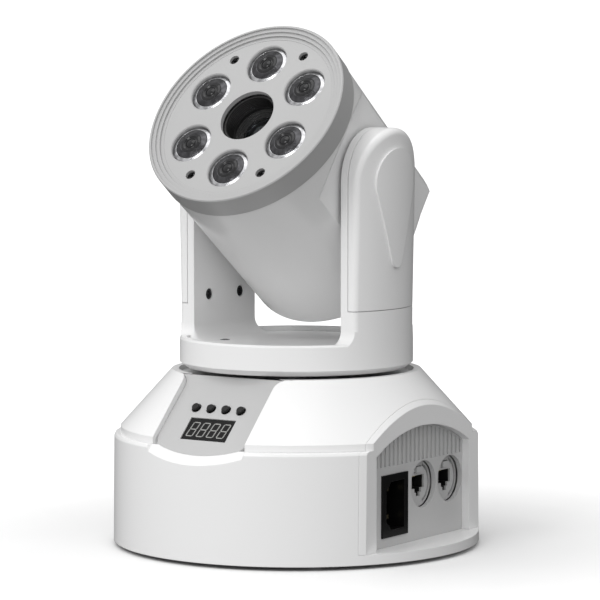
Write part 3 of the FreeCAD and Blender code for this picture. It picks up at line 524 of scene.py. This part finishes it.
def front_lenses():
    """The six front lenses, each as a dark middle, a band and a bright rim; the dark middle and the band are
    painted shade.
    """
    band = lens_ring_profile(LENS_HEART_RADIUS + LENS_RING_GAP, LENS_BAND_RADIUS)
    rim = lens_ring_profile(LENS_BAND_RADIUS + LENS_RING_GAP, LENS_EDGE_RADIUS)
    parts = (("front_lens_hearts", lens_heart_profile(), LENS, "lens_glass"),
             ("front_lens_bands", band, LENS_BAND, "lens_glass"),
             ("front_lens_rims", rim, LENS_RIM, "mirror"))
    for name, profile, material, slot in parts:

        def build(bm, profile=profile):
            for matrix in lens_matrices():
                add_lathe(bm, matrix, profile, segments=72)

        piece = piece_from(name, build, material, "head")
        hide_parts("front_lenses")


def bowl_radius(t):
    """The reflector's inner radius in metres, from its throat at t = 0 to its mouth at t = 1."""
    return (BOWL_THROAT + BOWL_FLARE * math.sqrt(t)) * MM


def reflector_bowls():
    """The bright bowl behind each front lens."""
    steps = 12
    low, high, wall, skew, rim = 39.2 * MM, 49.0 * MM, 1.0 * MM, 0.2 * MM, 1.2 * MM
    inside = [(bowl_radius(i / steps), low + (high - low) * i / steps) for i in range(steps + 1)]
    outside = [(r + wall, z - skew) for r, z in reversed(inside)]
    profile = inside + [(LENS_RIM_RADIUS, high), (LENS_RIM_RADIUS, high - rim)] + outside[1:]

    def build(bm):
        for matrix in lens_matrices():
            add_lathe(bm, matrix, profile, segments=64)

    piece = piece_from("reflector_bowls", build, MIRROR, "head")
    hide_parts("reflectors")


def centre_tube():
    """The black barrel, with fine baffle threads above the deep lens."""
    seat_bore, seat_back, last_thread = 11.7 * MM, 34 * MM, 44.5 * MM
    thread_depth, thread_pitch, thread_width, lip = 0.22 * MM, 1.1 * MM, 0.7 * MM, 0.3 * MM
    points = [(TUBE_RADIUS, TUBE_BACK), (TUBE_RADIUS, TUBE_MOUTH), (TUBE_BORE + lip, TUBE_MOUTH),
              (TUBE_BORE, TUBE_MOUTH - 0.4 * MM)]
    z = TUBE_MOUTH - 1.0 * MM
    while z > last_thread:
        points += [(TUBE_BORE, z), (TUBE_BORE - thread_depth, z - thread_width / 2),
                   (TUBE_BORE, z - thread_width)]
        z -= thread_pitch
    points += [(TUBE_BORE, LENS_SEAT), (seat_bore, LENS_SEAT), (seat_bore, seat_back), (TUBE_BORE, seat_back),
               (TUBE_BORE, TUBE_BACK)]
    piece = piece_from("centre_barrel", lambda bm: add_lathe(bm, head_matrix(0, 0, 0), points),
                       ANODISED, "head", smooth=False)
    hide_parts("centre_tube")


def lens_retainer():
    """The ring that holds the deep lens: narrow bright-edged steps down to the glass."""
    outer, base = TUBE_BORE - 0.05 * MM, LENS_SEAT + 2.1 * MM
    count, edge, drop = 4, 0.12 * MM, 0.75 * MM
    step = (outer - RETAINER_BORE) / count
    points = [(outer, base)]
    for i in range(count):
        r, z = outer - i * step, RETAINER_TOP - i * drop
        points += [(r, z - edge), (r - edge, z), (r - step, z)]
    points.append((RETAINER_BORE, base))
    piece = piece_from("lens_retainer_ring", lambda bm: add_lathe(bm, head_matrix(0, 0, 0), points),
                       RING_EDGE, "head", smooth=False)
    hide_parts("lens_retainer")


def centre_lens():
    """The deep lens: a flat flange with a low dome."""
    flange, base, ledge = TUBE_BORE - 0.2 * MM, LENS_SEAT + 0.1 * MM, LENS_SEAT + 2.0 * MM
    dome_radius, rise, steps = RETAINER_BORE - 0.2 * MM, 1.9 * MM, 14
    points = [(0, base), (flange, base), (flange, ledge), (dome_radius, ledge)]
    for i in range(1, steps + 1):
        t = i / steps
        points.append((dome_radius * (1 - t), ledge + rise * (1 - (1 - t) ** 2)))
    piece = piece_from("centre_lens_element",
                       lambda bm: add_lathe(bm, head_matrix(0, 0, 0), points, segments=80),
                       COATED_LENS, "head")
    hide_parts("centre_lens")


# ---- jacks ----
def jack_contacts():
    """Eight sprung gold wires slanting down inside each modular jack."""
    count, wire, pitch = 8, 0.25 * MM, 1.02 * MM
    near, deep, top, bottom = 2.5 * MM, 10 * MM, 4.0 * MM, 0.5 * MM
    for label in ("in", "out"):
        low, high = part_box("data_socket_" + label)
        middle = (low + high) / 2

        def build(bm, middle=middle, front=high.x):
            for i in range(count):
                y = middle.y + (i - (count - 1) / 2) * pitch
                start = Vector((front - near, y, middle.z + top))
                end = Vector((front - deep, y, middle.z + bottom))
                along = (end - start).normalized()
                side = Vector((0, 1, 0))
                matrix = frame_matrix(start, side, along.cross(side), along)
                outline = [on_circle(wire, a) for a in range(0, 360, 45)]
                add_prism(bm, matrix, outline, 0, (end - start).length)

        piece_from("jack_contacts_" + label, build, BRASS, "base")


# ---- surroundings: lights, surround, floor and camera, with sizes in metres and angles in degrees ----
DIM_SIDE = 0.03
BRIGHT_SIDE = 1.0
BACKDROP = 1.1
LIT_MIDDLE = (0, 0, 0.13)
KEY_PLACE = (0.9, 0.8, 1.0)
KEY_POWER = 4.6
KEY_SIZE = 0.45
TOP_PLACE = (0.1, 0.2, 1.4)
TOP_POWER = 4.2
TOP_SIZE = 0.9
SKY_PLACE = (0.6, 0.32, 0.85)
SKY_TURN = 0.75
CAMERA_AZIMUTH = 34.1
FLOOR_RADIUS = 60.0
FLOOR_NEAR = 0.10
FLOOR_FAR = 0.45
FLOOR_GLOW = 0.5


def area_light(name, place, target, size, power):
    """A square lamp at a place, aimed at a target."""
    light = bpy.data.lights.new(name, "AREA")
    light.shape = "RECTANGLE"
    light.size = size
    light.size_y = size
    light.energy = power
    lamp = bpy.data.objects.new(name, light)
    lamp.location = place
    lamp.rotation_euler = (Vector(target) - Vector(place)).to_track_quat("-Z", "Y").to_euler()
    bpy.context.scene.collection.objects.link(lamp)


def sky_world(bright_side):
    """A soft surround, bright on one side and dim on the other. To the camera itself it shows plain white."""
    world = bpy.data.worlds.new("studio_world")
    world.use_nodes = True
    tree = world.node_tree
    coords = tree.nodes.new("ShaderNodeTexCoord")
    along = tree.nodes.new("ShaderNodeVectorMath")
    along.operation = "DOT_PRODUCT"
    along.inputs[1].default_value = bright_side.normalized()
    tree.links.new(coords.outputs["Generated"], along.inputs[0])
    level = tree.nodes.new("ShaderNodeMapRange")
    level.interpolation_type = "SMOOTHSTEP"
    level.inputs["From Min"].default_value = -SKY_TURN
    level.inputs["From Max"].default_value = SKY_TURN
    level.inputs["To Min"].default_value = DIM_SIDE
    level.inputs["To Max"].default_value = BRIGHT_SIDE
    tree.links.new(along.outputs["Value"], level.inputs["Value"])
    rays = tree.nodes.new("ShaderNodeLightPath")
    strength = tree.nodes.new("ShaderNodeMix")
    strength.inputs["B"].default_value = BACKDROP
    tree.links.new(rays.outputs["Is Camera Ray"], strength.inputs["Factor"])
    tree.links.new(level.outputs["Result"], strength.inputs["A"])
    background = tree.nodes["Background"]
    background.inputs["Color"].default_value = (1, 1, 1, 1)
    tree.links.new(strength.outputs["Result"], background.inputs["Strength"])
    bpy.context.scene.world = world


def lighten_far_floor(tree):
    """The floor lightens to plain white away from the object, so that no horizon shows."""
    shader = tree.nodes["Principled BSDF"].inputs
    shader["Emission Color"].default_value = (1, 1, 1, 1)
    coords = tree.nodes.new("ShaderNodeTexCoord")
    distance = tree.nodes.new("ShaderNodeVectorMath")
    distance.operation = "LENGTH"
    tree.links.new(coords.outputs["Object"], distance.inputs[0])
    level = tree.nodes.new("ShaderNodeMapRange")
    level.interpolation_type = "SMOOTHSTEP"
    level.inputs["From Min"].default_value = FLOOR_NEAR
    level.inputs["From Max"].default_value = FLOOR_FAR
    level.inputs["To Max"].default_value = FLOOR_GLOW
    tree.links.new(distance.outputs["Value"], level.inputs["Value"])
    tree.links.new(level.outputs["Result"], shader["Emission Strength"])


def studio(camera_azimuth):
    """A pale floor, a soft surround, a key light on the camera's left and a wide one overhead."""
    a = math.radians(camera_azimuth)
    towards = Vector((math.sin(a), -math.cos(a), 0))
    left = Vector((-math.cos(a), -math.sin(a), 0))
    up = Vector((0, 0, 1))

    def seen_from_camera(place):
        """A place given as distances towards the camera, to its left and up."""
        return towards * place[0] + left * place[1] + up * place[2]

    area_light("key", seen_from_camera(KEY_PLACE), LIT_MIDDLE, KEY_SIZE, KEY_POWER)
    area_light("top", seen_from_camera(TOP_PLACE), LIT_MIDDLE, TOP_SIZE, TOP_POWER)
    sky_world(seen_from_camera(SKY_PLACE))
    bm = bmesh.new()
    bmesh.ops.create_circle(bm, cap_ends=True, radius=FLOOR_RADIUS, segments=96)
    mesh = bpy.data.meshes.new("floor")
    bm.to_mesh(mesh)
    bm.free()
    material = surface("pale_floor", (0.9, 0.9, 0.9), 0.6, mottle=0.005, strength=0.02, radius=0.0)
    lighten_far_floor(material.node_tree)
    mesh.materials.append(material)
    floor = bpy.data.objects.new("floor", mesh)
    floor.visible_diffuse = False
    floor.visible_glossy = False
    bpy.context.scene.collection.objects.link(floor)


def camera(azimuth, distance, height, pitch, lens, shift):
    """The camera, placed round the Z axis and pitched down by an angle in degrees."""
    a = math.radians(azimuth)
    data = bpy.data.cameras.new("camera")
    data.lens = lens
    data.sensor_width = 36
    data.shift_x = shift
    data.clip_end = 30
    view = bpy.data.objects.new("camera", data)
    view.location = (distance * math.sin(a), -distance * math.cos(a), height)
    view.rotation_euler = (math.radians(90 - pitch), 0, a)
    bpy.context.scene.collection.objects.link(view)
    bpy.context.scene.camera = view


bpy.context.scene.view_settings.view_transform = "Standard"
paint_cad_nodes()
display_digits()
face_screws()
arm_screws()
front_lenses()
reflector_bowls()
centre_tube()
lens_retainer()
centre_lens()
jack_contacts()
studio(CAMERA_AZIMUTH)
camera(azimuth=CAMERA_AZIMUTH, distance=1.523, height=0.2455, pitch=4.49, lens=176.9, shift=0.006)
